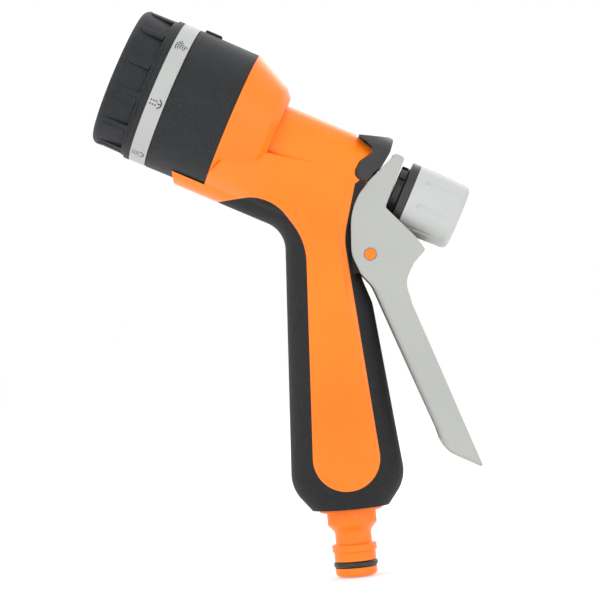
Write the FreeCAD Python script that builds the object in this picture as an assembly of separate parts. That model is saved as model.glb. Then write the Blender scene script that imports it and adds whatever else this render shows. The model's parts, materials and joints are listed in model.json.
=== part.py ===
"""Hose spray nozzle with a rear trigger: pistol grip, seven-pattern dial, flow knob and trigger lock.

Row frame, millimetres: the origin is the centre of the hose plug's end face, +Z runs up the inlet, -X is the
spray side, +X the trigger side, and the nozzle is symmetric about the plane Y = 0.

Head frame: the valve and the spray head share one tilted axis. Pieces on it are drawn along X (s, which grows
towards the rear) with Z as the height above the axis (r), and are then tilted and lifted onto the grip.
"""

import FreeCAD, Part
import math
import os

Vector = FreeCAD.Vector

# ---------------------------------------------------------------- driving dimensions
# hose plug (standard quick-connect size)
plug_radius = 7.85
plug_bore = 4.5
plug_end_round = 1.5
plug_groove_low = 3.2
plug_groove_high = 5.7
plug_groove_depth = 1.9
plug_land_top = 9.2
plug_collar_radius = 8.4
plug_collar_top = 11.8
plug_neck_radius = 6.85
plug_neck_top = 16.8
plug_shoulder_radius = 9.85
plug_shoulder_low = 20.0
plug_shoulder_top = 24.2
plug_flange_radius = 11.75
plug_thread_length = 12.0
o_ring_section = 1.2
inlet_gasket_thickness = 2.0

# grip
grip_low = 25.6
grip_height = 130.7
grip_half_depth_low = 21.4
grip_taper_height = 9.0
grip_front_top = 15.0
grip_rear_top = 15.1
grip_foot_half = 14.0
grip_low_round = 14.0
grip_round = 12.0
finger_round = 11.0
rubber_thickness = 2.5
panel_half_low = 13.3
panel_centre_height = 20.0
panel_half_top_front = 7.6
panel_half_top_rear = 6.6

# valve body and head, along the tilted axis
head_tilt = 28.2
barrel_radius = 14.2
web_half_width = 10.0
head_radius = 27.6
bell_rear_radius = 20.2
bell_rear = -18.5
bell_front = -35.4
bell_corner = 2.6
sleeve_length = 23.6
icon_ring_length = 6.6
dial_length = 15.8
tongue_reach = 13.6
keel_depth = 1.8
shell_wall = 2.6
valve_rear = 20.0
waterway_radius = 8.0
outlet_radius = 4.4
valve_seat_at = -16.0
chamber_radius = 8.6
chamber_rear = 4.0
spindle_radius = 3.0
gland_flange = 1.8

# trigger, latch and knob
pin_radius = 2.15
pin_back = 15.7
pin_below_axis = 37.2
trigger_half_width = 13.0
trigger_wall = 2.6
lever_round = 2.2
pin_ring_width = 0.35
latch_half_width = 12.9
lobe_s = 17.6
lobe_r = 1.9
latch_lobe_radius = 3.1
latch_stub_radius = 1.8
collar_at = 30.0
collar_small_radius = 10.2
collar_large_radius = 12.8
collar_small_thickness = 3.0
collar_large_thickness = 3.4
knob_radius = 12.9
knob_length = 20.4
knob_wall = 2.2
knob_rib_count = 8

# spray head inside
pattern_count = 7
port_inset = 7.7
port_radius = 3.0
detent_inset = 2.7
detent_turn = 120.0
screw_count = 3
first_screw = 60.0
flow_arm_reach = 11.0
seal_cup_depth = 6.0
dial_rib_count = 12
dial_pocket_depth = 0.9
dial_pocket_half = 5.5

# clearances
running_gap = 0.05
fit_gap = 0.2
face_gap = 0.3

axis_height = grip_low + grip_height
pin_height = axis_height - pin_below_axis
tilt = math.radians(head_tilt)
FAR = 400.0


# ---------------------------------------------------------------- helpers
def head_point(s, r):
    """(x, z) in the row frame of a point s along the head axis and r above it."""
    return (
        s * math.cos(tilt) + r * math.sin(tilt),
        axis_height - s * math.sin(tilt) + r * math.cos(tilt),
    )


def on_head(shape):
    """Moves a shape drawn along X onto the tilted head axis."""
    placed = shape.copy()
    placed.rotate(Vector(0, 0, 0), Vector(0, 1, 0), head_tilt)
    placed.translate(Vector(0, 0, axis_height))
    return placed


def outline(corners):
    """Closed wire in the XZ plane through corners (x, z), each rounded by its radius where (x, z, radius)."""
    count = len(corners)
    starts = []
    ends = []
    middles = []
    for i in range(count):
        here = Vector(corners[i][0], 0, corners[i][1])
        radius = corners[i][2] if len(corners[i]) > 2 else 0.0
        before = Vector(corners[i - 1][0], 0, corners[i - 1][1])
        after = Vector(corners[(i + 1) % count][0], 0, corners[(i + 1) % count][1])
        to_before = (before - here).normalize()
        to_after = (after - here).normalize()
        if radius == 0.0:
            starts.append(here)
            ends.append(here)
            middles.append(None)
            continue
        half = to_before.getAngle(to_after) / 2
        reach = radius / math.tan(half)
        inward = (to_before + to_after).normalize()
        centre = here + inward * (radius / math.sin(half))
        starts.append(here + to_before * reach)
        ends.append(here + to_after * reach)
        middles.append(centre - inward * radius)
    edges = []
    for i in range(count):
        if middles[i] is not None:
            edges.append(Part.Arc(starts[i], middles[i], ends[i]).toShape())
        following = starts[(i + 1) % count]
        if (following - ends[i]).Length > 1e-6:
            edges.append(Part.makeLine(ends[i], following))
    return Part.Wire(edges)


def prism(wire, half_width):
    """The solid inside a wire of the XZ plane, reaching half_width to both sides."""
    face = Part.Face(wire)
    face.translate(Vector(0, -half_width, 0))
    return face.extrude(Vector(0, 2 * half_width, 0))


def side_prisms(wire, inner, outer):
    """The same outline on both sides of the middle plane, from |y| = inner to |y| = outer."""
    return prism(wire, outer).cut(prism(wire, inner))


def turned(points):
    """Solid of revolution about X. Each point is (s, r), or (s, r, radius) for a rounded corner."""
    face = Part.Face(outline(points))
    return face.revolve(Vector(0, 0, 0), Vector(1, 0, 0), 360)


def rod(s_low, s_high, radius):
    return Part.makeCylinder(radius, s_high - s_low, Vector(s_low, 0, 0), Vector(1, 0, 0))


def tube(s_low, s_high, inner, outer):
    return rod(s_low, s_high, outer).cut(rod(s_low, s_high, inner))


def block(s_low, s_high, y_low, y_high, r_low, r_high):
    return Part.makeBox(s_high - s_low, y_high - y_low, r_high - r_low, Vector(s_low, y_low, r_low))


def cross_rod(x, z, radius, y_low, y_high):
    return Part.makeCylinder(radius, y_high - y_low, Vector(x, y_low, z), Vector(0, 1, 0))


def upright(z_low, z_high, radius):
    return Part.makeCylinder(radius, z_high - z_low, Vector(0, 0, z_low))


def spun(shape, angle):
    """A copy turned about the head axis before it is tilted."""
    copy = shape.copy()
    copy.rotate(Vector(0, 0, 0), Vector(1, 0, 0), angle)
    return copy


def around(shape, count, first=0.0):
    return [spun(shape, first + 360.0 * i / count) for i in range(count)]


def fused(shapes):
    whole = shapes[0]
    for shape in shapes[1:]:
        whole = whole.fuse(shape)
    return whole.removeSplitter()


def coil(s_low, s_high, mean_radius, wire_radius, turns):
    """Compression spring along X as one swept helix."""
    height = s_high - s_low - 2 * wire_radius
    helix = Part.makeHelix(height / turns, height, mean_radius)
    section = Part.Wire(Part.makeCircle(wire_radius, Vector(mean_radius, 0, 0), Vector(0, 1, 0)))
    spring = Part.Wire(helix).makePipeShell([section], True, True)
    spring.rotate(Vector(0, 0, 0), Vector(0, 1, 0), 90)
    spring.translate(Vector(s_low + wire_radius, 0, 0))
    return spring


def rounded(shape, radius, wanted):
    """Rounds the edges of a shape for which wanted(edge) is true."""
    edges = [edge for edge in shape.Edges if wanted(edge)]
    return shape.makeFillet(radius, edges)


def middle_of(edge):
    return edge.valueAt((edge.FirstParameter + edge.LastParameter) / 2)


def save(name, shape):
    shape = shape.removeSplitter()
    if not shape.isValid() or not shape.Solids:
        raise ValueError(name + " is not a valid solid")
    if shape.ShapeType == "Compound" and len(shape.Solids) == 1:
        shape = shape.Solids[0]
    os.makedirs("parts", exist_ok=True)
    shape.exportStep("parts/" + name + ".step")
    print("%-20s solids %d  volume %9.1f mm3" % (name, len(shape.Solids), shape.Volume))


# ---------------------------------------------------------------- places worked out from the dimensions
sleeve_rear = bell_front
sleeve_front = sleeve_rear - sleeve_length
icon_front = sleeve_front - icon_ring_length
dial_front = icon_front - dial_length
keel_radius = head_radius + keel_depth
spigot_radius = head_radius - 3.3
spigot_inner = spigot_radius - shell_wall
plate_rear = sleeve_front + 2.5
plate_front = sleeve_front - 1.0
arm_rear = collar_at - 0.6
collar_step = collar_at + collar_small_thickness
knob_front = collar_step + collar_large_thickness
knob_rear = knob_front + knob_length
lobe_x, lobe_z = head_point(lobe_s, lobe_r)
screw_circle = spigot_inner - 2.2
port_circle = spigot_inner - port_inset
detent_circle = spigot_inner - detent_inset
detent_depth = plate_rear - plate_front + 4.0


# ---------------------------------------------------------------- grip and valve body
def grip_outline(inset):
    """Side view of the keel, the grip and the edge beside the trigger, longer than the part at both ends."""
    low_z = grip_low + grip_taper_height
    foot_z = grip_low - 0.5
    keel = keel_radius - inset
    front_top = grip_front_top - inset
    low_half = grip_half_depth_low - inset
    foot_half = grip_foot_half - inset
    beside_pin = pin_back - 4.0 - inset
    finger_s = (-front_top + keel * math.sin(tilt)) / math.cos(tilt)
    return outline(
        [
            head_point(sleeve_rear - 2 * tongue_reach, -keel),
            head_point(sleeve_rear - 2 * tongue_reach, -spigot_inner),
            head_point(sleeve_rear, -spigot_inner),
            head_point(sleeve_rear + 6.0, -8.0),
            head_point(valve_rear, 2.0),
            (pin_back + 11.6 - inset, pin_height + 33.7),
            (beside_pin, pin_height + 7.5, 20.0 + inset),
            (beside_pin, pin_height - 7.6, 18.0 + inset),
            (grip_rear_top - inset, pin_height - 18.0, grip_round + 1.0 - inset),
            (low_half, low_z, grip_low_round - inset),
            (foot_half, foot_z),
            (-foot_half, foot_z),
            (-low_half, low_z, grip_low_round - inset),
            (*head_point(finger_s, -keel), finger_round + inset),
        ]
    )


def head_place(point):
    """(s, r) of a point of the row frame."""
    x = point.x
    z = point.z - axis_height
    return x * math.cos(tilt) - z * math.sin(tilt), x * math.sin(tilt) + z * math.cos(tilt)


def grip_block(inset):
    """The keel and grip with rounded long edges and its surface moved inwards by inset."""
    half = barrel_radius - inset
    solid = prism(grip_outline(inset), half)

    def long_edge(edge):
        point = middle_of(edge)
        s, r = head_place(point)
        beside_plane = abs(abs(point.y) - half) < 1e-3
        inside_barrel = (s < valve_rear - 3.0 and r > -keel_radius + 3.0) or r > 0.0
        under_foot = point.z < grip_low and abs(point.x) < 2.0
        return beside_plane and not inside_barrel and not under_foot

    front = rounded(solid, grip_round - inset, lambda edge: long_edge(edge) and middle_of(edge).x < 0)
    rear = rounded(solid, grip_round - inset, lambda edge: long_edge(edge) and middle_of(edge).x > 0)
    return front.common(rear)


def above(z):
    return Part.makeBox(FAR, FAR, FAR, Vector(-FAR / 2, -FAR / 2, z))


def panel_wire():
    """Side view of the bare panel between the two rubber strips, running up into the valve body."""
    low_z = grip_low + panel_centre_height
    top_z = pin_height + 7.0
    return outline(
        [
            (-panel_half_low, low_z - panel_half_low, 0.93 * panel_half_low),
            (-panel_half_top_front, top_z, 24.0),
            (*head_point(-11.5, -19.5), 17.0),
            (*head_point(-30.0, -keel_radius - 1.0), 0.0),
            head_point(-80.0, -keel_radius - 1.0),
            head_point(-80.0, 40.0),
            head_point(40.0, 40.0),
            head_point(16.0, -3.6),
            (panel_half_top_rear, top_z, 26.0),
            (panel_half_low, low_z - panel_half_low, 0.93 * panel_half_low),
        ]
    )


def latch_notch():
    """Side view of the room cut for the latch: over the nose of the barrel, then round the latch lobe."""
    lobe_gap = latch_lobe_radius + face_gap
    return outline(
        [
            head_point(9.4, 16.0),
            (*head_point(9.8, 13.3), 0.6),
            (*head_point(17.9, 10.6), 2.2),
            (*head_point(lobe_s - lobe_gap, lobe_r + 2.7), 1.0),
            (*head_point(lobe_s - lobe_gap - 0.4, lobe_r - lobe_gap), lobe_gap - 0.4),
            head_point(lobe_s + 3.4, lobe_r - lobe_gap - 0.2),
            head_point(60.0, lobe_r - lobe_gap - 0.2),
            head_point(60.0, 60.0),
            head_point(9.4, 60.0),
        ]
    )


def body_outside():
    """Grip, barrel, bell, the flare below the bell and the narrow web that carries the trigger pin."""
    grip = grip_block(0.0).common(above(grip_low))
    keel_cut = outline(
        [
            head_point(sleeve_rear - tongue_reach, -keel_radius + 4.7),
            head_point(sleeve_rear - tongue_reach + 3.0, -keel_radius - 0.4),
            head_point(sleeve_rear - tongue_reach + 3.0, -FAR),
            head_point(-FAR, -FAR),
            head_point(-FAR, -keel_radius + 4.7),
        ]
    )
    top_cut = outline(
        [
            head_point(sleeve_rear - tongue_reach, -keel_radius + 4.7),
            head_point(sleeve_rear - tongue_reach, 0.0),
            head_point(-FAR, 0.0),
            head_point(-FAR, -keel_radius + 4.7),
        ]
    )
    grip = grip.cut(prism(keel_cut, FAR / 4)).cut(prism(top_cut, FAR / 4))
    behind_valve = outline(
        [
            head_point(valve_rear, FAR),
            head_point(valve_rear, -19.0),
            head_point(valve_rear + 6.0, -22.0),
            head_point(FAR, -22.0),
            head_point(FAR, FAR),
        ]
    )
    grip = grip.cut(prism(behind_valve, FAR / 4))
    bell = turned(
        [
            (bell_front, 0),
            (bell_front, head_radius - 0.1),
            (bell_rear - bell_corner, bell_rear_radius, bell_corner),
            (bell_rear, bell_rear_radius - bell_corner - 0.6, 0.8),
            (bell_rear, 0),
        ]
    )
    barrel = rod(bell_rear - 1.0, valve_rear, barrel_radius)
    flare_half = 0.82 * head_radius
    flare_rear = bell_rear + 4.5
    flare_plan = Part.makePolygon(
        [
            Vector(bell_front, -flare_half, 0),
            Vector(bell_front, flare_half, 0),
            Vector(flare_rear, barrel_radius, 0),
            Vector(0, barrel_radius, 0),
            Vector(0, -barrel_radius, 0),
            Vector(flare_rear, -barrel_radius, 0),
            Vector(bell_front, -flare_half, 0),
        ]
    )
    flare = Part.Face(flare_plan).extrude(Vector(0, 0, -keel_radius))
    flare = flare.common(rod(bell_front, 0.0, head_radius - 0.1))
    round_barrel = on_head(fused([bell, barrel, flare]))
    web = prism(
        outline(
            [
                (0.0, pin_height - 7.5),
                (pin_back + 0.6, pin_height - 6.2, 5.0),
                (pin_back + 5.4, pin_height, 5.0),
                (pin_back - 2.3, pin_height + 14.0, 3.0),
                head_point(valve_rear, -15.0),
                head_point(valve_rear, 2.0),
                head_point(0.0, 0.0),
            ]
        ),
        web_half_width,
    )
    keeps_flare = prism(grip_outline(0.0), FAR / 4).fuse(on_head(rod(bell_front, valve_rear, barrel_radius)))
    keeps_flare = keeps_flare.fuse(on_head(bell))
    round_barrel = round_barrel.common(keeps_flare)
    outside = fused([grip, round_barrel, web])
    side_notch = side_prisms(latch_notch(), web_half_width, FAR / 4)
    bridge_low = web_half_width + 1.2
    over_notch = outline(
        [
            head_point(9.6, FAR),
            head_point(9.6, 13.4),
            head_point(16.0, bridge_low),
            head_point(FAR, bridge_low),
            head_point(FAR, FAR),
        ]
    )
    cheek_notch = side_prisms(trigger_notch(), web_half_width, FAR / 4)
    return outside.cut(side_notch).cut(cheek_notch).cut(prism(over_notch, FAR / 4))


def body_hollow():
    """Everything removed inside: inlet thread, waterway, valve chamber, outlet, bell and bearing holes."""
    thread_top = grip_low + plug_thread_length + inlet_gasket_thickness
    inlet = upright(grip_low - 1.0, thread_top, plug_shoulder_radius)
    waterway = upright(thread_top - 1.0, axis_height, waterway_radius)
    chamber = rod(valve_seat_at, valve_rear + 5.0, chamber_radius)
    outlet = rod(valve_seat_at - 12.0, valve_seat_at + 1.0, outlet_radius)
    socket = rod(bell_front - 1.0, valve_seat_at - 8.0, outlet_radius + 1.8)
    bell_room = turned(
        [
            (bell_front - 1.0, spigot_inner),
            (bell_front + 2.0, spigot_inner),
            (bell_rear - 5.0, bell_rear_radius - 5.0, 3.0),
            (bell_rear - 5.0, outlet_radius + 4.0),
            (bell_front - 1.0, outlet_radius + 4.0),
        ]
    )
    on_axis = fused([chamber, outlet, socket, bell_room])
    pin_hole = cross_rod(pin_back, pin_height, pin_radius, -FAR / 4, FAR / 4)
    stub_radius = latch_stub_radius + running_gap
    stub_holes = [
        cross_rod(lobe_x, lobe_z, stub_radius, web_half_width - 1.2, web_half_width + 1.0),
        cross_rod(lobe_x, lobe_z, stub_radius, -web_half_width - 1.0, -web_half_width + 1.2),
    ]
    return [inlet, waterway, on_head(on_axis), pin_hole] + stub_holes


def front_spigot():
    """The tube that carries the sleeve, closed in front by the distributor plate."""
    ring = tube(plate_rear, bell_front + 1.0, spigot_inner, spigot_radius)
    pad = block(plate_rear, bell_front + 1.0, -3.0, 3.0, spigot_inner - 4.5, spigot_inner + 1.0)
    hole = rod(plate_rear - 1.0, plate_rear + 12.0, 1.2).translated(Vector(0, 0, screw_circle))
    holes = around(hole, screw_count, first_screw)
    return fused([ring] + around(pad, screw_count, first_screw)).cut(Part.makeCompound(holes))


def rubber_solid(outside):
    """The over-moulded rubber: the outer skin of the grip outside the panel."""
    core = grip_block(rubber_thickness)
    core = core.fuse(on_head(rod(bell_front, valve_rear + 1.0, barrel_radius - rubber_thickness)))
    skin = outside.cut(prism(panel_wire(), FAR / 4)).cut(core)
    web_corner = Vector(pin_back - 3.0, -web_half_width, pin_height - 8.0)
    web_room = Part.makeBox(FAR, 2 * web_half_width, FAR, web_corner)
    skin = skin.cut(web_room)
    pieces = sorted(skin.Solids, key=lambda piece: -piece.Volume)
    return pieces[0]


def build_body():
    outside = body_outside()
    rubber = rubber_solid(outside)
    body = outside.cut(rubber)
    body = body.cut(on_head(rod(dial_front - 20.0, sleeve_rear, head_radius + fit_gap)))
    body = body.fuse(on_head(front_spigot()))
    for hollow in body_hollow():
        body = body.cut(hollow)
    save("body_shell", body)
    save("soft_grip", rubber)


# ---------------------------------------------------------------- hose plug
def upright_turned(points):
    """Solid of revolution about Z. Each point is (z, r), or (z, r, radius) for a rounded corner."""
    solid = turned(points)
    solid.rotate(Vector(0, 0, 0), Vector(0, 1, 0), -90)
    return solid


def build_hose_plug():
    thread_top = grip_low + plug_thread_length
    plug = upright_turned(
        [
            (0.0, plug_bore, 0.5),
            (0.0, plug_radius, plug_end_round),
            (plug_groove_low, plug_radius),
            (plug_groove_low, plug_radius - plug_groove_depth),
            (plug_groove_high, plug_radius - plug_groove_depth),
            (plug_groove_high, plug_radius),
            (plug_land_top, plug_radius),
            (plug_land_top, plug_collar_radius, 0.3),
            (plug_collar_top, plug_collar_radius, 0.5),
            (plug_collar_top + 0.4, plug_neck_radius, 0.3),
            (plug_neck_top, plug_neck_radius, 2.6),
            (plug_shoulder_low, plug_shoulder_radius, 0.8),
            (plug_shoulder_top, plug_shoulder_radius),
            (plug_shoulder_top + 0.2, plug_flange_radius, 0.3),
            (grip_low, plug_flange_radius, 0.3),
            (grip_low, plug_shoulder_radius - fit_gap),
            (thread_top, plug_shoulder_radius - fit_gap, 0.6),
            (thread_top, plug_bore),
        ]
    )
    flats = []
    for angle in range(6):
        flat = Part.makeBox(
            20.0, 20.0, plug_shoulder_top - plug_shoulder_low + 0.6,
            Vector(plug_shoulder_radius - 0.7, -10.0, plug_shoulder_low - 0.8),
        )
        flat.rotate(Vector(0, 0, 0), Vector(0, 0, 1), 60.0 * angle)
        flats.append(flat)
    save("hose_plug", plug.cut(Part.makeCompound(flats)))
    middle_z = (plug_groove_low + plug_groove_high) / 2
    ring_radius = plug_radius - plug_groove_depth + o_ring_section
    save("plug_o_ring", Part.makeTorus(ring_radius, o_ring_section - 0.01, Vector(0, 0, middle_z)))
    gasket = upright(thread_top, thread_top + inlet_gasket_thickness, plug_shoulder_radius - fit_gap)
    save("inlet_gasket", gasket.cut(upright(thread_top - 1.0, thread_top + 9.0, plug_bore + 0.4)))


# ---------------------------------------------------------------- valve
valve_face = valve_seat_at + 0.02
seal_thickness = 2.6
retainer_thickness = 1.6
spring_front = valve_face + seal_thickness + retainer_thickness
gland_inner = chamber_rear
spring_wire = 0.55


def build_valve():
    spindle = fused(
        [
            rod(valve_face - 7.0, knob_rear - 4.0, spindle_radius),
            tube(valve_face - 5.5, valve_face - 4.3, spindle_radius - 0.5, spindle_radius + 0.8),
            tube(spring_front, spring_front + 1.2, spindle_radius - 0.5, spindle_radius + 1.6),
        ]
    )
    flat = block(knob_rear - 6.0, knob_rear, -FAR, FAR, spindle_radius - 0.6, FAR)
    groove = tube(knob_rear - 6.0, knob_rear - 5.2, spindle_radius - 0.6, FAR)
    save("valve_spindle", on_head(spindle.cut(groove).cut(flat)))
    seal = tube(valve_face, valve_face + seal_thickness, spindle_radius + 0.01, chamber_radius - 1.6)
    save("valve_washer", on_head(seal))
    retainer = tube(valve_face + seal_thickness, spring_front, spindle_radius + 0.01, chamber_radius - 1.2)
    save("washer_retainer", on_head(retainer))
    spring = coil(spring_front + 0.1, gland_inner - 0.1, spindle_radius + 2.6, spring_wire, 6)
    save("valve_spring", on_head(spring))
    flange_front = valve_rear + 0.1
    gland_bore = spindle_radius + running_gap
    gland = fused(
        [
            tube(gland_inner, flange_front, gland_bore, chamber_radius - running_gap),
            tube(flange_front, flange_front + gland_flange, gland_bore, chamber_radius + 0.9),
        ]
    )
    ring_room = tube(gland_inner + 3.0, gland_inner + 5.2, chamber_radius - 1.7, FAR)
    stem_room = tube(gland_inner + 8.0, gland_inner + 10.2, 0.5, spindle_radius + 1.6)
    notches = around(block(flange_front + 0.9, FAR, -1.2, 1.2, chamber_radius - 2.4, FAR), 4, 45.0)
    gland = gland.cut(ring_room).cut(stem_room).cut(Part.makeCompound(notches))
    save("gland", on_head(gland))
    ring = Part.makeTorus(chamber_radius - 0.85, 0.8, Vector(gland_inner + 4.1, 0, 0), Vector(1, 0, 0))
    save("gland_o_ring", on_head(ring))
    stem_ring = Part.makeTorus(spindle_radius + 0.82, 0.76, Vector(gland_inner + 9.1, 0, 0), Vector(1, 0, 0))
    save("spindle_o_ring", on_head(stem_ring))


# ---------------------------------------------------------------- flow collar and knob
nut_radius = 6.0
nut_front = knob_front + 6.0
nut_rear = knob_front + 13.0


def build_knob():
    neck = nut_radius - 1.0
    collar = turned(
        [
            (collar_at, spindle_radius + running_gap),
            (collar_at, collar_small_radius, 0.5),
            (collar_step - 0.2, collar_small_radius, 0.3),
            (collar_step, collar_small_radius - 0.7),
            (collar_step + 0.2, collar_large_radius, 0.4),
            (knob_front - 0.1, collar_large_radius, 0.5),
            (knob_front - 0.1, neck),
            (nut_front - 0.2, neck, 0.4),
            (nut_front - 0.2, spindle_radius + running_gap),
        ]
    )
    dent = block(collar_at - 1.0, collar_step - 0.6, -1.6, 1.6, collar_small_radius - 1.3, FAR)
    dents = around(dent, 8, 22.5)
    save("flow_collar", on_head(collar.cut(Part.makeCompound(dents))))
    inner = knob_radius - knob_wall
    knob = turned(
        [
            (knob_front, neck + fit_gap),
            (knob_front, knob_radius, 0.4),
            (knob_rear, knob_radius - 0.5, 2.2),
            (knob_rear, 0.0),
            (knob_rear - knob_wall, 0.0),
            (knob_rear - knob_wall, inner, 1.5),
            (nut_rear, inner, 1.0),
            (nut_rear, nut_radius),
            (nut_front, nut_radius),
            (nut_front, neck + fit_gap),
        ]
    )
    flute = rod(knob_front + 4.0, knob_rear - 2.0, 1.3).translated(Vector(0, 0, knob_radius + 0.75))
    flutes = around(flute, knob_rib_count, 10.0)
    save("flow_knob", on_head(knob.cut(Part.makeCompound(flutes))))
    nut = tube(nut_front, nut_rear, spindle_radius + running_gap, nut_radius)
    save("knob_nut", on_head(nut))


# ---------------------------------------------------------------- trigger
def trigger_outline():
    """Side view of the trigger: arm, cheek round the pin, lever and toe."""
    x = pin_back
    z = pin_height
    return [
        (x + 12.9, z + 36.3, 1.0),
        (x - 5.5, z + 20.9, 24.0),
        (x - 7.0, z + 0.6, 12.0),
        (x - 4.2, z - 6.8, 0.6),
        (x - 0.2, z - 11.8, 9.0),
        (x + 18.9, z - 67.1, 6.0),
        (x + 21.0, z - 75.2, 9.0),
        (x + 34.8, z - 82.8, 0.7),
        (x + 13.9, z - 20.1, 8.0),
        (x + 12.0, z - 11.0, 9.0),
        (x + 15.9, z - 4.6, 4.0),
        (x + 20.5, z - 0.2, 1.0),
        (x + 17.4, z + 5.0, 1.5),
        (x + 7.2, z + 16.8, 1.4),
        (x + 16.1, z + 34.6, 1.3),
    ]


def trigger_notch():
    """Side view of the room for the cheeks: the trigger's front edge moved forwards by the gap, open at the rear."""
    x = pin_back - face_gap
    z = pin_height + face_gap / 2
    return outline(
        [
            (x + 12.9, z + 36.3),
            (x - 5.5, z + 20.9, 24.0),
            (x - 7.0, z + 0.6, 12.0),
            (x - 4.2, z - 7.4),
            (x + 60.0, z - 7.4),
            (x + 60.0, z + 36.3),
        ]
    )


def lever_front():
    """Side view of everything behind the lever's front edge, which is rounded more than the other edges."""
    x = pin_back
    z = pin_height
    return outline(
        [
            (x - 30.0, z + 6.0),
            (x - 0.2, z - 11.8, 9.0),
            (x + 18.9, z - 67.1, 6.0),
            (x + 21.0, z - 75.2, 9.0),
            (x + 62.4, z - 98.0),
            (x + 62.4, z + 80.0),
            (x - 30.0, z + 80.0),
        ]
    )


def trigger_room():
    """Side view of the channel between the trigger's cheeks."""
    x = pin_back
    z = pin_height
    return outline(
        [
            (x - 40.0, z - 71.0),
            (x + 27.2, z - 71.0, 1.5),
            (x + 11.1, z - 20.5, 8.0),
            (x + 9.2, z - 10.4, 9.0),
            (x + 13.0, z - 3.4, 4.0),
            (x + 17.2, z + 0.6, 0.8),
            (x + 40.0, z + 0.6),
            (x + 40.0, z + 60.0),
            (x - 40.0, z + 60.0),
        ]
    )


def build_trigger():
    lever = prism(outline(trigger_outline()), trigger_half_width)
    lever = rounded(lever, 0.55, lambda edge: abs(abs(middle_of(edge).y) - trigger_half_width) < 1e-3)
    front = prism(lever_front(), trigger_half_width)

    def front_edge(edge):
        point = middle_of(edge)
        beside = abs(abs(point.y) - trigger_half_width) < 1e-3
        return beside and point.z < pin_height + 5.0 and point.x < pin_back + 50.0

    lever = lever.common(rounded(front, lever_round, front_edge))
    inner_half = trigger_half_width - trigger_wall
    lever = lever.cut(prism(trigger_room(), inner_half))
    yoke = on_head(block(24.9, 27.4, -inner_half - 0.5, inner_half + 0.5, -11.0, 12.0))
    pads = [
        on_head(Part.makeCylinder(3.0, 4.0, Vector(arm_rear - 3.0, y - 2.0, 0), Vector(0, 1, 0)))
        for y in (-7.2, 7.2)
    ]
    for piece in [yoke] + pads:
        lever = lever.fuse(piece)
    slot_half = spindle_radius + 0.7
    slot = block(20.0, 35.0, -slot_half, slot_half, -4.6, 30.0)
    lever = lever.cut(on_head(slot))
    lever = lever.cut(cross_rod(pin_back, pin_height, pin_radius + running_gap, -FAR / 4, FAR / 4))
    ring_floor = trigger_half_width - pin_ring_width
    pin_ring = cross_rod(pin_back, pin_height, pin_radius + pin_ring_width, -FAR / 4, FAR / 4)
    lever = lever.cut(pin_ring.cut(cross_rod(pin_back, pin_height, FAR, -ring_floor, ring_floor)))
    save("trigger", lever)
    pin = cross_rod(pin_back, pin_height, pin_radius, -trigger_half_width - 0.2, trigger_half_width + 0.2)
    save("trigger_pin", rounded(pin, 0.4, lambda edge: abs(middle_of(edge).y) > trigger_half_width))


# ---------------------------------------------------------------- latch
def build_latch():
    side = outline(
        [
            (*head_point(9.9, 13.8), 0.2),
            (*head_point(21.2, 17.7), 0.0),
            (*head_point(22.9, 17.4), 0.9),
            (*head_point(23.5, 12.2), 2.5),
            (*head_point(22.7, 6.0), 1.0),
            (*head_point(lobe_s + latch_lobe_radius, lobe_r + 1.0), 1.0),
            (*head_point(lobe_s + latch_lobe_radius, lobe_r - latch_lobe_radius), latch_lobe_radius - 0.1),
            (*head_point(lobe_s - latch_lobe_radius, lobe_r - latch_lobe_radius), latch_lobe_radius - 0.1),
            (*head_point(lobe_s - latch_lobe_radius, lobe_r + 2.2), 1.5),
            (*head_point(18.3, 10.8), 2.3),
            (*head_point(16.0, 11.9), 1.0),
        ]
    )
    latch = prism(side, latch_half_width)
    latch = latch.common(on_head(rod(0.0, 60.0, 18.4)))
    inner = web_half_width + face_gap
    latch = latch.cut(on_head(block(5.0, 60.0, -inner, inner, -20.0, web_half_width + 1.6)))
    stubs = [
        cross_rod(lobe_x, lobe_z, latch_stub_radius, web_half_width - 1.0, inner + 0.5),
        cross_rod(lobe_x, lobe_z, latch_stub_radius, -inner - 0.5, -web_half_width + 1.0),
    ]
    save("trigger_latch", fused([latch] + stubs))


# ---------------------------------------------------------------- spray head
def build_sleeve():
    sleeve = turned(
        [
            (sleeve_front, spigot_radius + running_gap),
            (sleeve_front, head_radius - 0.1, 0.4),
            (sleeve_rear, head_radius - 0.3, 0.3),
            (sleeve_rear, spigot_radius + running_gap),
        ]
    )
    pointer = block(sleeve_front + 1.5, sleeve_front + 8.0, -2.6, 2.6, head_radius - 1.5, head_radius + 0.8)
    pointer = pointer.makeFillet(0.5, [e for e in pointer.Edges if middle_of(e).z > head_radius])
    save("head_sleeve", on_head(fused([sleeve, pointer])))


def at_detent(shape):
    """Moves a shape from the axis out to the detent, clear of the port and the screws."""
    return spun(shape.translated(Vector(0, 0, detent_circle)), detent_turn)


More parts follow.
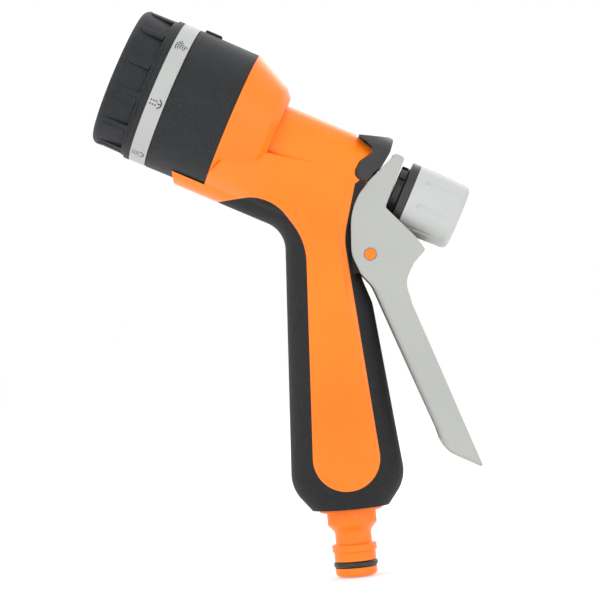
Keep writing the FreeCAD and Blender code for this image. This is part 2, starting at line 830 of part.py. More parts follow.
def build_distributor():
    seal_front = plate_front - 0.1
    plate = rod(plate_front, plate_rear, spigot_radius)
    pipe = rod(plate_rear - 0.5, valve_seat_at - 9.0, outlet_radius + 1.8 - running_gap)
    cup_radius = port_radius + 1.7
    duct_s = plate_rear + flow_arm_reach - 4.5
    arm_half = cup_radius + 1.6
    arm = block(plate_rear - 0.5, plate_rear + flow_arm_reach, -arm_half, arm_half, 0.0, port_circle + arm_half)
    click_boss = at_detent(rod(plate_rear - 0.5, plate_front + detent_depth + 1.5, 2.5))
    boss = rod(plate_front, plate_rear + 6.0, 6.5)
    solid = fused([plate, pipe, arm, boss, click_boss])
    bore = rod(duct_s - 1.0, valve_seat_at, outlet_radius - 0.4)
    duct = Part.makeCylinder(port_radius, port_circle, Vector(duct_s, 0, 0), Vector(0, 0, 1))
    riser = rod(plate_front - 1.0, duct_s, port_radius).translated(Vector(0, 0, port_circle))
    cup = rod(plate_front - 1.0, plate_front + seal_cup_depth, cup_radius).translated(Vector(0, 0, port_circle))
    screw = rod(plate_front - 1.0, plate_rear + 2.5, 1.6)
    click = at_detent(rod(plate_front - 1.0, plate_front + detent_depth, 1.6))
    ring_room = tube(valve_seat_at - 12.4, valve_seat_at - 10.4, outlet_radius + 0.4, FAR)
    hole = rod(plate_front - 1.0, plate_rear + 1.0, 1.5).translated(Vector(0, 0, screw_circle))
    holes = around(hole, screw_count, first_screw)
    for piece in [bore, duct, riser, cup, screw, click, ring_room] + holes:
        solid = solid.cut(piece)
    save("distributor", on_head(solid))
    ring = Part.makeTorus(outlet_radius + 1.1, 0.66, Vector(valve_seat_at - 11.4, 0, 0), Vector(1, 0, 0))
    save("distributor_o_ring", on_head(ring))
    shank = rod(plate_front + 1.0, plate_rear + 9.0, 1.15)
    head = rod(plate_front + 0.2, plate_front + 1.2, 1.45)
    screws = around(shank.fuse(head).translated(Vector(0, 0, screw_circle)), screw_count, first_screw)
    save("distributor_screws", on_head(Part.makeCompound(screws)))
    washer_front = plate_front + seal_cup_depth - 1.0
    seal = tube(seal_front, washer_front, port_radius - 0.4, port_radius + 1.6)
    save("port_seal", on_head(seal.translated(Vector(0, 0, port_circle))))
    washer = tube(washer_front + 0.02, washer_front + 0.98, port_radius + 0.1, port_radius + 1.6)
    save("port_seal_washer", on_head(washer.translated(Vector(0, 0, port_circle))))
    ball_at = plate_front + 1.1
    ball = Part.makeSphere(1.2, Vector(ball_at, 0, 0))
    save("detent_ball", on_head(at_detent(ball)))
    click_spring = coil(ball_at + 1.21, plate_front + detent_depth - 0.05, 1.0, 0.25, 4)
    save("detent_spring", on_head(at_detent(click_spring)))


pattern_rear = plate_front - 0.3
pattern_thickness = 3.0
face_rear = dial_front + 5.0
face_front = dial_front + 2.6
cap_radius = 5.6
inner_ring_radius = spigot_radius - 0.4


def pattern_angles():
    return [360.0 * i / pattern_count for i in range(pattern_count)]


def build_pattern_plate():
    plate = rod(pattern_rear - pattern_thickness, pattern_rear, inner_ring_radius)
    port = rod(pattern_rear - pattern_thickness - 1.0, pattern_rear + 1.0, port_radius - 0.4)
    ports = around(port.translated(Vector(0, 0, port_circle)), pattern_count)
    dimple = at_detent(Part.makeSphere(1.0, Vector(pattern_rear + 0.4, 0, 0)))
    dimples = around(dimple, pattern_count)
    centre = rod(-FAR, FAR, 2.4)
    for piece in ports + dimples + [centre]:
        plate = plate.cut(piece)
    save("pattern_plate", on_head(plate))


def build_cells():
    """The seven chambers between the pattern plate and the face, one to each spray pattern."""
    rear = pattern_rear - pattern_thickness
    ring = tube(face_rear, rear, inner_ring_radius - 1.4, inner_ring_radius)
    hub = rod(face_rear, rear, 5.6)
    wall = block(face_rear, rear, -0.7, 0.7, 4.0, inner_ring_radius - 0.5)
    cells = fused([ring, hub] + around(wall, pattern_count, 180.0 / pattern_count))
    cells = cells.cut(rod(-FAR, FAR, 4.0)).fuse(tube(rear - 2.0, rear, 2.4, 5.0))
    save("pattern_cells", on_head(cells))


def holes_on(beyond, count, radius, spread, turn):
    """A row of small round nozzles across one sector of the face, beyond the circle of the ports or inside it."""
    found = []
    for i in range(count):
        angle = turn + spread * (i - (count - 1) / 2.0)
        hole = rod(face_front - 2.0, face_rear + 2.0, radius)
        found.append(spun(hole.translated(Vector(0, 0, port_circle + beyond)), angle))
    return found


def face_nozzles(kind, turn):
    """Openings of one spray pattern: shower, fine shower, jet, cone, flat, mist and soaker."""
    if kind == 0:
        rows = holes_on(-3.5, 3, 0.55, 11.0, turn) + holes_on(0.0, 4, 0.55, 9.0, turn)
        return rows + holes_on(3.5, 5, 0.55, 8.0, turn)
    if kind == 1:
        rows = holes_on(-4.0, 4, 0.35, 8.0, turn) + holes_on(-1.5, 5, 0.35, 7.0, turn)
        return rows + holes_on(1.0, 6, 0.35, 6.0, turn) + holes_on(3.5, 7, 0.35, 5.4, turn)
    if kind == 2:
        return holes_on(0.0, 1, 1.9, 0.0, turn)
    if kind == 3:
        ring = tube(face_front - 2.0, face_rear + 2.0, 2.6, 3.4).translated(Vector(0, 0, port_circle))
        bridge = block(face_front - 3.0, face_rear + 3.0, -0.5, 0.5, port_circle - 5.0, port_circle + 5.0)
        return [spun(ring.cut(bridge), turn)]
    if kind == 4:
        slot = block(face_front - 2.0, face_rear + 2.0, -3.6, 3.6, port_circle - 0.5, port_circle + 0.5)
        return [spun(slot, turn)]
    if kind == 5:
        return holes_on(-2.0, 1, 0.4, 0.0, turn) + holes_on(2.0, 2, 0.4, 16.0, turn)
    return holes_on(-2.5, 2, 1.1, 16.0, turn) + holes_on(1.5, 3, 1.1, 13.0, turn)


def build_face():
    face = rod(face_front, face_rear, inner_ring_radius)
    raised = rod(face_front - 0.7, face_front + 0.1, 4.3)
    bosses = around(raised.translated(Vector(0, 0, port_circle)), pattern_count)
    face = fused([face] + bosses)
    for kind, turn in enumerate(pattern_angles()):
        for hole in face_nozzles(kind, turn):
            face = face.cut(hole)
    face = face.cut(rod(-FAR, FAR, 4.0))
    face = face.cut(rod(-FAR, face_front, cap_radius + fit_gap))
    save("spray_face", on_head(face))
    cap = turned(
        [
            (face_front - 1.2, 0.0),
            (face_front - 1.2, cap_radius, 0.8),
            (face_front, cap_radius),
            (face_front, 3.95),
            (face_rear + 2.0, 3.95),
            (face_rear + 2.0, 2.9),
            (face_front + 0.6, 2.9),
            (face_front + 0.6, 0.0),
        ]
    )
    save("dial_cap", on_head(cap))
    rear = pattern_rear - pattern_thickness
    washer = tube(rear - 3.0, rear - 2.05, 1.7, 3.9)
    save("dial_washer", on_head(washer))
    head = rod(rear - 5.0, rear - 3.0, 3.2).cut(block(rear - 6.0, rear - 4.2, -0.5, 0.5, -4.0, 4.0))
    screw = fused([head, rod(rear - 3.5, plate_rear + 2.4, 1.55)])
    save("dial_screw", on_head(screw))


def build_dial():
    inner = inner_ring_radius
    rim = turned(
        [
            (dial_front, inner - 1.2, 1.0),
            (dial_front, head_radius - 0.9, 2.8),
            (dial_front + 13.4, head_radius - 0.7),
            (dial_front + 13.6, head_radius, 0.3),
            (icon_front, head_radius, 0.3),
            (icon_front, spigot_radius + 1.0),
            (sleeve_front - 0.3, spigot_radius + 1.0),
            (sleeve_front - 0.3, spigot_radius + 0.2),
            (plate_front - 0.2, spigot_radius + 0.2),
            (plate_front - 0.2, inner + 0.01),
            (face_front, inner + 0.01),
            (face_front, inner - 1.2),
        ]
    )
    step = 360.0 / dial_rib_count
    band_radius = head_radius - 0.9
    pocket_rear = dial_front + 12.2
    ramp = turned(
        [
            (dial_front + 2.2, band_radius + 0.05),
            (pocket_rear, band_radius - dial_pocket_depth),
            (pocket_rear, FAR),
            (dial_front + 2.2, FAR),
        ]
    )
    pocket = ramp.common(block(dial_front, pocket_rear, -dial_pocket_half, dial_pocket_half, 0.0, FAR))
    pockets = around(pocket, dial_rib_count, step * 0.92)
    save("dial_ring", on_head(rim.cut(Part.makeCompound(pockets))))
    band = turned(
        [
            (icon_front, spigot_radius + 1.05),
            (icon_front, head_radius - 0.1, 0.25),
            (sleeve_front - 0.2, head_radius - 0.1, 0.25),
            (sleeve_front - 0.2, spigot_radius + 1.05),
        ]
    )
    save("icon_ring", on_head(band))


build_body()
build_hose_plug()
build_valve()
build_knob()
build_trigger()
build_latch()
build_sleeve()
build_distributor()
build_pattern_plate()
build_cells()
build_face()
build_dial()
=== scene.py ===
# %% [markdown]
# # A garden hose spray nozzle
# The nozzle is a glossy orange pistol with a black soft grip, a turning black dial that picks one of seven spray
# patterns, a grey trigger with a thumb lock, a grey flow knob and a quick-connect plug for the hose.
# The measured frame already holds every piece at its true size. This lesson gives each piece its surface, smooths
# the pieces that are seen, and adds the small shapes that only the eye needs.

# %% Load the measured frame
import bpy
import bmesh
import json
import math
from mathutils import Matrix, Vector


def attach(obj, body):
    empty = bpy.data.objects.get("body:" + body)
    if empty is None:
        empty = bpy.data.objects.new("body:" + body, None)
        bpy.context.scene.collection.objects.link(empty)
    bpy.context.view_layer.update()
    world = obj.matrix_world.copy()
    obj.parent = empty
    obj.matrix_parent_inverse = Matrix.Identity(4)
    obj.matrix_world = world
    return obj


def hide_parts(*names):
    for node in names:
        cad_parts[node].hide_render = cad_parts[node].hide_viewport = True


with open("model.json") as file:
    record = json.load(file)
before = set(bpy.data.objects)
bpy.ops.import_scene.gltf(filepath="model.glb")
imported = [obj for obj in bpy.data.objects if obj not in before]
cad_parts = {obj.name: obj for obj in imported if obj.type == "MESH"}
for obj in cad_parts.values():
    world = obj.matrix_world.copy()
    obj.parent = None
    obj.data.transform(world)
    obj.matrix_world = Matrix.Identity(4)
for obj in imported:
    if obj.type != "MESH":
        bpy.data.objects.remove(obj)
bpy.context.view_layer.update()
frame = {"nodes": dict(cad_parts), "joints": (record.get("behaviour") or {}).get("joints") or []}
MM = 0.001

# %% [markdown]
# ## The tilted head
# The barrel, dial, valve and knob share one tilted axis. Shapes on them are drawn in a straight workspace first:
# X runs along the axis towards the rear, Y across, Z up from the axis. One matrix then tilts them into place, so
# the axis is written nowhere else. It comes from the dial's own joint.

# %% The head matrix
dial_joint = next(joint for joint in frame["joints"] if joint["name"] == "dial_turn")
head_axis = Vector(dial_joint["axis"]).normalized()
across = Vector((0, 1, 0))
head_up = head_axis.cross(across)
DIAL_AT = -62.0
head_origin = Vector(dial_joint["pos_m"]) - head_axis * (DIAL_AT * MM)
HEAD = Matrix.Translation(head_origin) @ Matrix((head_axis, across, head_up)).transposed().to_4x4()
print("head tilt, degrees:", round(math.degrees(math.acos(head_axis.x)), 2))

# %% [markdown]
# ## Surfaces
# Moulded plastic is never perfectly even. Its colour drifts a little with the melt's flow, its gloss drifts with the
# tool's polish, and a textured tool leaves a fine grain. One recipe makes them all: a slow noise for the drift, a
# fine noise for the grain, and a bump. Constants stay on the shader's own sockets.

# %% A recipe for moulded surfaces
def shader_of(name):
    material = bpy.data.materials.new(name)
    material.use_nodes = True
    nodes = material.node_tree.nodes
    return material, nodes, material.node_tree.links, nodes["Principled BSDF"]


def noise(nodes, links, scale, detail, roughness=0.5):
    place = nodes.new("ShaderNodeTexCoord")
    pattern = nodes.new("ShaderNodeTexNoise")
    pattern.inputs["Scale"].default_value = scale
    pattern.inputs["Detail"].default_value = detail
    pattern.inputs["Roughness"].default_value = roughness
    links.new(place.outputs["Object"], pattern.inputs["Vector"])
    return pattern


def spread(nodes, links, source, low, high, start=0.3, end=0.7):
    remap = nodes.new("ShaderNodeMapRange")
    remap.inputs["From Min"].default_value = start
    remap.inputs["From Max"].default_value = end
    remap.inputs["To Min"].default_value = low
    remap.inputs["To Max"].default_value = high
    links.new(source, remap.inputs["Value"])
    return remap.outputs["Result"]


def blended(nodes, links, amount, first, second):
    mix = nodes.new("ShaderNodeMix")
    mix.data_type = "RGBA"
    mix.inputs["A"].default_value = (*first, 1)
    mix.inputs["B"].default_value = (*second, 1)
    links.new(amount, mix.inputs["Factor"])
    return mix.outputs["Result"]


def moulded(name, colour, drift, gloss, grain_scale, grain_depth, glint_specks=0.0, metal=0.0, sheen=0.5):
    """colour and drift are the two ends of the colour; gloss is (lowest, highest) roughness.

    sheen is the strength of the plain reflection, so a low value keeps a black deep.
    """
    material, nodes, links, shader = shader_of(name)
    slow = noise(nodes, links, 22.0, 3.0)
    grain = noise(nodes, links, grain_scale, 2.0, 0.6)
    colour_amount = spread(nodes, links, slow.outputs["Fac"], 0.0, 1.0)
    base = blended(nodes, links, colour_amount, colour, drift)
    # Painted highlight: pale glints added to the base colour where the fine grain is high, standing in for light
    # caught by the grain.
    if glint_specks > 0.0:
        painted_glint = nodes.new("ShaderNodeMix")
        painted_glint.data_type = "RGBA"
        painted_glint.blend_type = "ADD"
        painted_glint.inputs["B"].default_value = (glint_specks, glint_specks, glint_specks, 1)
        links.new(spread(nodes, links, grain.outputs["Fac"], 0.0, 1.0, 0.55, 0.75), painted_glint.inputs["Factor"])
        links.new(base, painted_glint.inputs["A"])
        base = painted_glint.outputs["Result"]
    links.new(base, shader.inputs["Base Color"])
    links.new(spread(nodes, links, slow.outputs["Fac"], gloss[0], gloss[1]), shader.inputs["Roughness"])
    bump = nodes.new("ShaderNodeBump")
    bump.inputs["Strength"].default_value = 1.0
    bump.inputs["Distance"].default_value = grain_depth
    links.new(grain.outputs["Fac"], bump.inputs["Height"])
    links.new(bump.outputs["Normal"], shader.inputs["Normal"])
    shader.inputs["Metallic"].default_value = metal
    shader.inputs["Specular IOR Level"].default_value = sheen
    return material


# %% [markdown]
# The orange is a glossy acrylonitrile plastic with a whisper of orange peel. The rubber and the dial come out of
# eroded tools: their grain is about a third of a millimetre, and the specks where it catches the light are painted
# highlights.

# %% The finishes
orange = moulded(
    "glossy_orange", (0.95, 0.185, 0.004), (1.0, 0.225, 0.008), (0.24, 0.34), 900.0, 0.00001, sheen=0.4
)
rubber = moulded(
    "soft_black_rubber", (0.010, 0.0105, 0.012), (0.015, 0.0155, 0.017), (0.58, 0.70), 2600.0, 0.00012,
    glint_specks=0.030, sheen=0.25,
)
eroded = moulded(
    "eroded_black", (0.010, 0.011, 0.013), (0.014, 0.0155, 0.018), (0.50, 0.60), 2400.0, 0.0001,
    glint_specks=0.022, sheen=0.3,
)
satin_black = moulded("satin_black", (0.020, 0.021, 0.023), (0.027, 0.028, 0.030), (0.33, 0.42), 1400.0, 0.00001)
trigger_grey = moulded("satin_grey", (0.385, 0.395, 0.375), (0.42, 0.43, 0.41), (0.36, 0.46), 1500.0, 0.000012)
knob_grey = moulded("light_grey", (0.47, 0.485, 0.475), (0.51, 0.525, 0.515), (0.38, 0.48), 1500.0, 0.000012)
ring_grey = moulded("ring_grey", (0.40, 0.41, 0.40), (0.44, 0.45, 0.44), (0.40, 0.50), 1500.0, 0.00001)
seal_black = moulded("seal_rubber", (0.012, 0.012, 0.013), (0.018, 0.018, 0.019), (0.28, 0.38), 1800.0, 0.00001)
steel = moulded(
    "drawn_steel", (0.52, 0.52, 0.53), (0.60, 0.60, 0.61), (0.22, 0.34), 3000.0, 0.000005, metal=1.0
)
brass = moulded(
    "turned_brass", (0.72, 0.50, 0.20), (0.80, 0.58, 0.26), (0.20, 0.32), 3000.0, 0.000005, metal=1.0
)
acetal = moulded("white_acetal", (0.74, 0.74, 0.71), (0.80, 0.80, 0.77), (0.38, 0.48), 1200.0, 0.00001)
ink = moulded("pad_print_ink", (0.012, 0.012, 0.013), (0.02, 0.02, 0.021), (0.45, 0.55), 2000.0, 0.000004)
print("finishes:", len(bpy.data.materials))

# %% [markdown]
# ## Pieces carried over
# The pieces inside the nozzle keep the measured mesh and only get their finish, because they are seen through a
# slot or in a cutaway at most.

# %% Finishes for the pieces inside
inner_finishes = {
    "inlet_gasket": seal_black, "valve_washer": seal_black, "gland_o_ring": seal_black,
    "spindle_o_ring": seal_black, "distributor_o_ring": seal_black, "port_seal": seal_black,
    "valve_spring": steel, "port_seal_washer": steel, "detent_ball": steel, "detent_spring": steel,
    "distributor_screws": steel, "dial_screw": steel, "dial_washer": steel,
    "valve_spindle": brass, "washer_retainer": brass, "knob_nut": brass,
    "gland": satin_black, "distributor": acetal, "pattern_plate": acetal, "pattern_cells": acetal,
}
for node, finish in inner_finishes.items():
    mesh = frame["nodes"][node].data
    mesh.materials.clear()
    mesh.materials.append(finish)
print("inner pieces finished:", len(inner_finishes))

# %% [markdown]
# ## Smoothed pieces
# A measured node is made of loose triangles, so each one is lit on its own and a curve looks cut. Welding a copy
# and shading it smooth up to a set angle keeps the true edges crisp and lets the curves flow. Weighted normals
# keep the broad flats flat, which is how a moulding with small edge rounds really looks.

# %% A helper that welds and smooths a copy
def place_piece(mesh, name, body, finish):
    mesh.materials.clear()
    mesh.materials.append(finish)
    piece = bpy.data.objects.new(name, mesh)
    bpy.context.scene.collection.objects.link(piece)
    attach(piece, body)
    return piece


WELD = 0.000002
SHARP_ON_PLASTIC = 24.0
SHARP_ON_SHAPES = 40.0


def smooth_up_to(bm, angle):
    for face in bm.faces:
        face.smooth = True
    for edge in bm.edges:
        edge.smooth = len(edge.link_faces) == 2 and edge.calc_face_angle(0.0) < math.radians(angle)


def smoothed(node, name, body, finish):
    bm = bmesh.new()
    bm.from_mesh(frame["nodes"][node].data)
    bmesh.ops.remove_doubles(bm, verts=bm.verts, dist=WELD)
    smooth_up_to(bm, SHARP_ON_PLASTIC)
    mesh = bpy.data.meshes.new(name)
    bm.to_mesh(mesh)
    bm.free()
    piece = place_piece(mesh, name, body, finish)
    even = piece.modifiers.new("even_light", "WEIGHTED_NORMAL")
    even.keep_sharp = True
    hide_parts(node)
    print("%-16s %6d faces" % (name, len(mesh.polygons)))
    return piece


# %% The seen pieces
smoothed("body_shell", "nozzle_body", "body", orange)
smoothed("soft_grip", "grip_rubber", "body", rubber)
smoothed("hose_plug", "plug", "body", orange)
smoothed("plug_o_ring", "plug_ring", "body", seal_black)
smoothed("head_sleeve", "sleeve", "body", eroded)
smoothed("trigger_pin", "pivot_pin", "body", orange)
smoothed("trigger", "trigger_lever", "trigger", trigger_grey)
smoothed("trigger_latch", "thumb_lock", "latch", satin_black)
smoothed("flow_collar", "collar", "collar", satin_black)
smoothed("flow_knob", "knob", "knob", knob_grey)
smoothed("dial_ring", "dial_rim", "dial", eroded)
smoothed("icon_ring", "pattern_ring", "dial", ring_grey)
smoothed("spray_face", "nozzle_face", "dial", ring_grey)
smoothed("dial_cap", "face_cap", "dial", satin_black)

# %% [markdown]
# ## Shapes wrapped round the head
# Grip ribs and printed signs follow the dial's curve. They are drawn flat first: X along the axis, Y round the
# dial, Z outwards, all in millimetres. A wrap then bends the sheet round the axis, and the head matrix tilts it.
# Angle zero looks to the left side of the nozzle and grows upwards.

# %% The wrap
def wrapped(bm, radius, angle):
    for vert in bm.verts:
        turn = math.radians(angle) + vert.co.y / radius
        out = radius + vert.co.z
        vert.co = Vector((vert.co.x, -out * math.cos(turn), out * math.sin(turn)))


def mesh_from(bm, name, matrix):
    bmesh.ops.scale(bm, vec=(MM, MM, MM), verts=bm.verts)
    bmesh.ops.transform(bm, matrix=matrix, verts=bm.verts)
    bmesh.ops.recalc_face_normals(bm, faces=bm.faces)
    mesh = bpy.data.meshes.new(name)
    bm.to_mesh(mesh)
    bm.free()
    return mesh


# %% [markdown]
# ## Ribs on the dial
# Wet hands need something to push on, so the dial has twelve ribs with round noses. Each starts as a disc; its rear
# half is pulled back, the outline is raised, and the top edge is rounded. The same rib is made twelve times.

# %% Twelve ribs
RIB_COUNT = 12
RIB_FIRST = 13.0
RIB_HALF = 1.35
RIB_NOSE = -78.4
RIB_REAR = -69.5
RIB_SEAT = 26.2
RIB_RISE = 0.85
RIB_ROUND = 0.28
RIB_SIDES = 20


def rib(all_ribs, angle):
    bm = bmesh.new()
    bmesh.ops.create_circle(bm, cap_ends=True, segments=RIB_SIDES, radius=RIB_HALF)
    nose = RIB_NOSE + RIB_HALF
    bmesh.ops.translate(bm, vec=(nose, 0, 0), verts=bm.verts)
    rear = [vert for vert in bm.verts if vert.co.x > nose + 0.01]
    for vert in rear:
        vert.co.x = RIB_REAR
        vert.co.y = math.copysign(RIB_HALF, vert.co.y) if abs(vert.co.y) > 0.01 else 0.0
    bmesh.ops.remove_doubles(bm, verts=bm.verts, dist=0.001)
    raised = bmesh.ops.extrude_face_region(bm, geom=bm.faces[:])["geom"]
    top = [part for part in raised if isinstance(part, bmesh.types.BMVert)]
    bmesh.ops.translate(bm, vec=(0, 0, RIB_RISE), verts=top)
    rim = [edge for edge in bm.edges if all(vert.co.z > RIB_RISE / 2 for vert in edge.verts)]
    bmesh.ops.bevel(bm, geom=rim, offset=RIB_ROUND, segments=3, profile=0.5, affect="EDGES", material=-1)
    wrapped(bm, RIB_SEAT, angle)
    part = bpy.data.meshes.new("rib")
    bm.to_mesh(part)
    bm.free()
    all_ribs.from_mesh(part)
    bpy.data.meshes.remove(part)


ribs = bmesh.new()
for i in range(RIB_COUNT):
    rib(ribs, RIB_FIRST + i * 360.0 / RIB_COUNT)
smooth_up_to(ribs, SHARP_ON_SHAPES)
place_piece(mesh_from(ribs, "dial_ribs", HEAD), "dial_ribs", "dial", eroded)
print("ribs:", RIB_COUNT)

# %% [markdown]
# ## Signs on the pattern ring
# Each spray pattern has a small printed sign: dots and dashes for drops, arcs for the spread. Two strokes are
# enough to draw them all. A dot is a capped circle. An arc is a short edge spun about a centre.

# %% Strokes for the signs
INK_RISE = 0.05
STROKE_STEPS = 14


def dot(bm, x, y, radius, stretch=1.0):
    made = bmesh.ops.create_circle(bm, cap_ends=True, segments=STROKE_STEPS, radius=radius)
    bmesh.ops.scale(bm, vec=(stretch, 1, 1), verts=made["verts"])
    bmesh.ops.translate(bm, vec=(x, y, 0), verts=made["verts"])


def arc(bm, x, y, radius, width, middle, half_angle):
    start = math.radians(middle - half_angle)
    step = Vector((math.cos(start), math.sin(start), 0))
    centre = Vector((x, y, 0))
    inner = bm.verts.new(centre + step * (radius - width / 2))
    outer = bm.verts.new(centre + step * (radius + width / 2))
    edge = bm.edges.new((inner, outer))
    bmesh.ops.spin(
        bm, geom=[inner, outer, edge], cent=centre, axis=(0, 0, 1), angle=math.radians(2 * half_angle),
        steps=STROKE_STEPS,
    )


def dash(bm, x, y, length, width, turn=0.0):
    made = bmesh.ops.create_grid(bm, x_segments=1, y_segments=1, size=0.5)
    bmesh.ops.scale(bm, vec=(length, width, 1), verts=made["verts"])
    bmesh.ops.rotate(bm, matrix=Matrix.Rotation(math.radians(turn), 3, "Z"), verts=made["verts"])
    bmesh.ops.translate(bm, vec=(x, y, 0), verts=made["verts"])


# %% [markdown]
# The ring is under seven millimetres wide, so a sign is about four millimetres across. Water leaves towards the
# front, so every sign opens that way.

# %% The seven signs
def cone_sign(bm):
    dot(bm, 1.5, -0.5, 0.36)
    arc(bm, 1.5, -0.5, 1.0, 0.28, 150.0, 130.0)
    for radius in (1.85, 2.7, 3.55):
        arc(bm, 1.5, -0.5, radius, 0.34, 162.0, 44.0)


def shower_sign(bm):
    for y in (-0.75, 0.75):
        for x in (-2.1, -1.1, -0.1):
            dash(bm, x, y, 0.62, 0.46)
    arc(bm, 0.25, 0.0, 1.75, 0.42, 0.0, 72.0)
    dash(bm, 1.1, 0.0, 1.3, 0.38)


def fine_shower_sign(bm):
    for y in (-1.2, -0.4, 0.4, 1.2):
        for x in (-2.2, -1.45, -0.7, 0.05):
            dash(bm, x, y, 0.42, 0.3)
    arc(bm, 0.5, 0.0, 1.55, 0.42, 0.0, 88.0)


def jet_sign(bm):
    dash(bm, -0.7, 0.0, 3.2, 0.5)
    dot(bm, 1.6, 0.0, 0.75)


def flat_sign(bm):
    for turn in (-26.0, 0.0, 26.0):
        reach = math.radians(180.0 + turn)
        dash(bm, 1.4 + 1.9 * math.cos(reach), 1.9 * math.sin(reach), 2.8, 0.36, turn)
    dot(bm, 1.7, 0.0, 0.5)


def mist_sign(bm):
    for ring, count in ((1.1, 5), (2.0, 8), (2.9, 10)):
        for i in range(count):
            reach = math.radians(180.0 + 84.0 * (i / (count - 1) - 0.5))
            dot(bm, 1.5 + ring * math.cos(reach), ring * math.sin(reach), 0.17)
    dot(bm, 1.6, 0.0, 0.4)


def soaker_sign(bm):
    for x, y in ((-1.6, -0.9), (-1.6, 0.9), (-0.2, 0.0), (-0.2, -1.7), (-0.2, 1.7)):
        dot(bm, x, y, 0.42, 1.5)
    arc(bm, 0.3, 0.0, 1.8, 0.42, 0.0, 55.0)


signs = (cone_sign, shower_sign, fine_shower_sign, jet_sign, flat_sign, mist_sign, soaker_sign)
SIGN_AT = -62.3
SIGN_FIRST = 40.0
RING_SURFACE = 27.5
for i, draw in enumerate(signs):
    bm = bmesh.new()
    draw(bm)
    raised = bmesh.ops.extrude_face_region(bm, geom=bm.faces[:])["geom"]
    top = [part for part in raised if isinstance(part, bmesh.types.BMVert)]
    bmesh.ops.translate(bm, vec=(0, 0, INK_RISE), verts=top)
    bmesh.ops.translate(bm, vec=(SIGN_AT, 0, 0), verts=bm.verts)
    wrapped(bm, RING_SURFACE, SIGN_FIRST - i * 360.0 / len(signs))
    name = draw.__name__
    place_piece(mesh_from(bm, name, HEAD), name, "dial", ink)
print("signs:", len(signs))

# %% [markdown]
# ## The crowned panel
# The orange panel in the grip isn't flat. Its middle stands a hair proud, and the slope at its edges draws two long
# bright lines. A few corner points give the outline, it is raised, its rim gets a soft slope, and both ends are
# sunk into the grip so that the lines fade out.

# %% Two crowned panels
PANEL_SIDE = 14.2
CROWN = 0.38
SUNK = 0.12
SLOPE = 1.1
ROW = 5
PANEL_WALL = 0.0004
SINK_LOW = (37.0, 52.0)
SINK_HIGH = (128.0, 150.0)
crown_corners = (
    (-9.0, 46.0), (-8.3, 60.0), (-6.4, 92.0), (-5.0, 112.0), (-4.5, 122.0), (-5.2, 130.0), (-7.6, 138.0),
    (-12.0, 146.0), (-16.0, 151.0), (9.5, 150.0), (6.4, 142.0), (4.6, 134.0), (4.3, 124.0), (5.3, 108.0),
    (7.8, 82.0), (10.6, 56.0), (10.8, 46.0), (9.6, 41.0), (6.2, 37.5), (1.0, 36.0), (-4.0, 37.3), (-7.4, 40.8),
)


def eased(value, low, high):
    share = min(max((value - low) / (high - low), 0.0), 1.0)
    return share * share * (3.0 - 2.0 * share)


def crown(side, name):
    bm = bmesh.new()
    bm.faces.new([bm.verts.new((x, 0, z)) for x, z in crown_corners])
    for z in range(40, 150, ROW):
        everything = bm.verts[:] + bm.edges[:] + bm.faces[:]
        bmesh.ops.bisect_plane(bm, geom=everything, plane_co=(0, 0, z), plane_no=(0, 0, 1))
    bmesh.ops.inset_region(bm, faces=bm.faces, thickness=SLOPE, depth=0.0, use_even_offset=True)
    rim = {vert for edge in bm.edges if edge.is_boundary for vert in edge.verts}
    for vert in bm.verts:
        proud = eased(vert.co.z, *SINK_LOW) * (1.0 - eased(vert.co.z, *SINK_HIGH))
        rise = -SUNK if vert in rim else CROWN * proud - SUNK * (1.0 - proud)
        vert.co.y = side * (PANEL_SIDE + rise)
    smooth_up_to(bm, SHARP_ON_SHAPES)
    mesh = mesh_from(bm, name, Matrix.Identity(4))
    piece = place_piece(mesh, name, "body", orange)
    rounding = piece.modifiers.new("soft_slope", "SUBSURF")
    rounding.levels = 2
    rounding.render_levels = 2
    thick = piece.modifiers.new("wall", "SOLIDIFY")
    thick.thickness = PANEL_WALL
    thick.offset = -1.0


crown(-1.0, "panel_left")
crown(1.0, "panel_right")

# %% [markdown]
# ## The stage
# A white studio cove goes all the way round, so no horizon shows from any side. Its profile is one edge: a run of
# floor, a bend and a wall. A full spin about the nozzle makes the room. The paper glows a little, as a lit tent does.

# %% The cove
FLOOR_AT = -0.0005
FLOOR_RUN = 2.2
BEND = 0.9
WALL_TOP = 4.5
PAPER_GLOW = 0.30
bm = bmesh.new()
floor_start = bm.verts.new((0.0, 0.0, FLOOR_AT))
floor_end = bm.verts.new((FLOOR_RUN, 0.0, FLOOR_AT))
bm.edges.new((floor_start, floor_end))
bend = bmesh.ops.spin(
    bm, geom=[floor_end], cent=(FLOOR_RUN, 0, FLOOR_AT + BEND), axis=(0, -1, 0), angle=math.radians(90),
    steps=16,
)["geom_last"]
wall_foot = [part for part in bend if isinstance(part, bmesh.types.BMVert)][0]
wall_head = bm.verts.new((wall_foot.co.x, 0.0, WALL_TOP))
bm.edges.new((wall_foot, wall_head))
bmesh.ops.spin(
    bm, geom=bm.verts[:] + bm.edges[:], cent=(0, 0, 0), axis=(0, 0, 1), angle=math.radians(360), steps=72,
    use_merge=True,
)
bmesh.ops.remove_doubles(bm, verts=bm.verts, dist=0.0001)
bmesh.ops.recalc_face_normals(bm, faces=bm.faces)
for face in bm.faces:
    face.smooth = True
cove_mesh = bpy.data.meshes.new("cove")
bm.to_mesh(cove_mesh)
bm.free()
paper, nodes, links, shader = shader_of("white_paper")
paper_amount = spread(nodes, links, noise(nodes, links, 3.0, 2.0).outputs["Fac"], 0.0, 1.0)
links.new(blended(nodes, links, paper_amount, (0.78, 0.78, 0.78), (0.80, 0.80, 0.80)), shader.inputs["Base Color"])
shader.inputs["Roughness"].default_value = 0.9
shader.inputs["Emission Color"].default_value = (1.0, 1.0, 1.0, 1.0)
shader.inputs["Emission Strength"].default_value = PAPER_GLOW
cove_mesh.materials.append(paper)
cove = bpy.data.objects.new("cove", cove_mesh)
bpy.context.scene.collection.objects.link(cove)
print("cove faces:", len(cove_mesh.polygons))

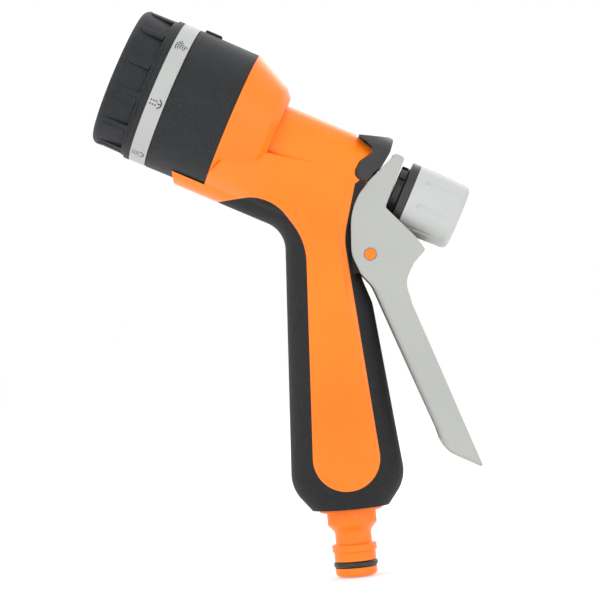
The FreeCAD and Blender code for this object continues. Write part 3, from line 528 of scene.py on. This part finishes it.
# %% [markdown]
# ## Light
# Large soft boxes make the long gentle highlights that show gloss. The key is high on the left, a broad fill stands
# on the right, one lamp stands behind and one hangs above. The glowing cove gives an even base.

# %% Soft boxes
def soft_box(name, place, target, width, height, power):
    lamp = bpy.data.lights.new(name, "AREA")
    lamp.shape = "RECTANGLE"
    lamp.size = width
    lamp.size_y = height
    lamp.energy = power
    light = bpy.data.objects.new(name, lamp)
    bpy.context.scene.collection.objects.link(light)
    light.location = place
    light.rotation_euler = (Vector(target) - Vector(place)).to_track_quat("-Z", "Y").to_euler()


middle = (-0.012, 0.0, 0.105)
soft_box("key", (-0.75, -0.95, 0.85), middle, 0.7, 0.7, 5.0)
soft_box("fill", (0.9, -0.9, 0.35), middle, 0.9, 0.9, 2.5)
soft_box("back", (0.3, 1.1, 0.8), middle, 0.9, 0.9, 3.0)
soft_box("top", (0.0, 0.1, 1.2), middle, 0.9, 0.6, 4.0)

ROOM_LIGHT = 0.5
world = bpy.data.worlds.new("room")
bpy.context.scene.world = world
world.use_nodes = True
room = world.node_tree.nodes["Background"]
room.inputs["Color"].default_value = (1.0, 1.0, 1.0, 1.0)
room.inputs["Strength"].default_value = ROOM_LIGHT

# %% [markdown]
# ## Camera
# A long lens looks straight at the side from a metre away, rolled by a few degrees, so the handle leans as it does
# when the nozzle is shown for sale.

# %% The camera
CAMERA_ROLL = 5.3
CAMERA_AWAY = 1.0
FIELD_OF_VIEW = 12.84
LOOK_AT_X = -0.0118
LOOK_AT_Z = 0.1046
lens = bpy.data.cameras.new("side_view")
lens.lens_unit = "FOV"
lens.angle = math.radians(FIELD_OF_VIEW)
camera = bpy.data.objects.new("side_view", lens)
bpy.context.scene.collection.objects.link(camera)
camera.matrix_world = (
    Matrix.Translation((LOOK_AT_X, -CAMERA_AWAY, LOOK_AT_Z))
    @ Matrix.Rotation(math.radians(CAMERA_ROLL), 4, "Y")
    @ Matrix.Rotation(math.radians(90), 4, "X")
)
bpy.context.scene.camera = camera
bpy.context.scene.view_settings.view_transform = "Standard"
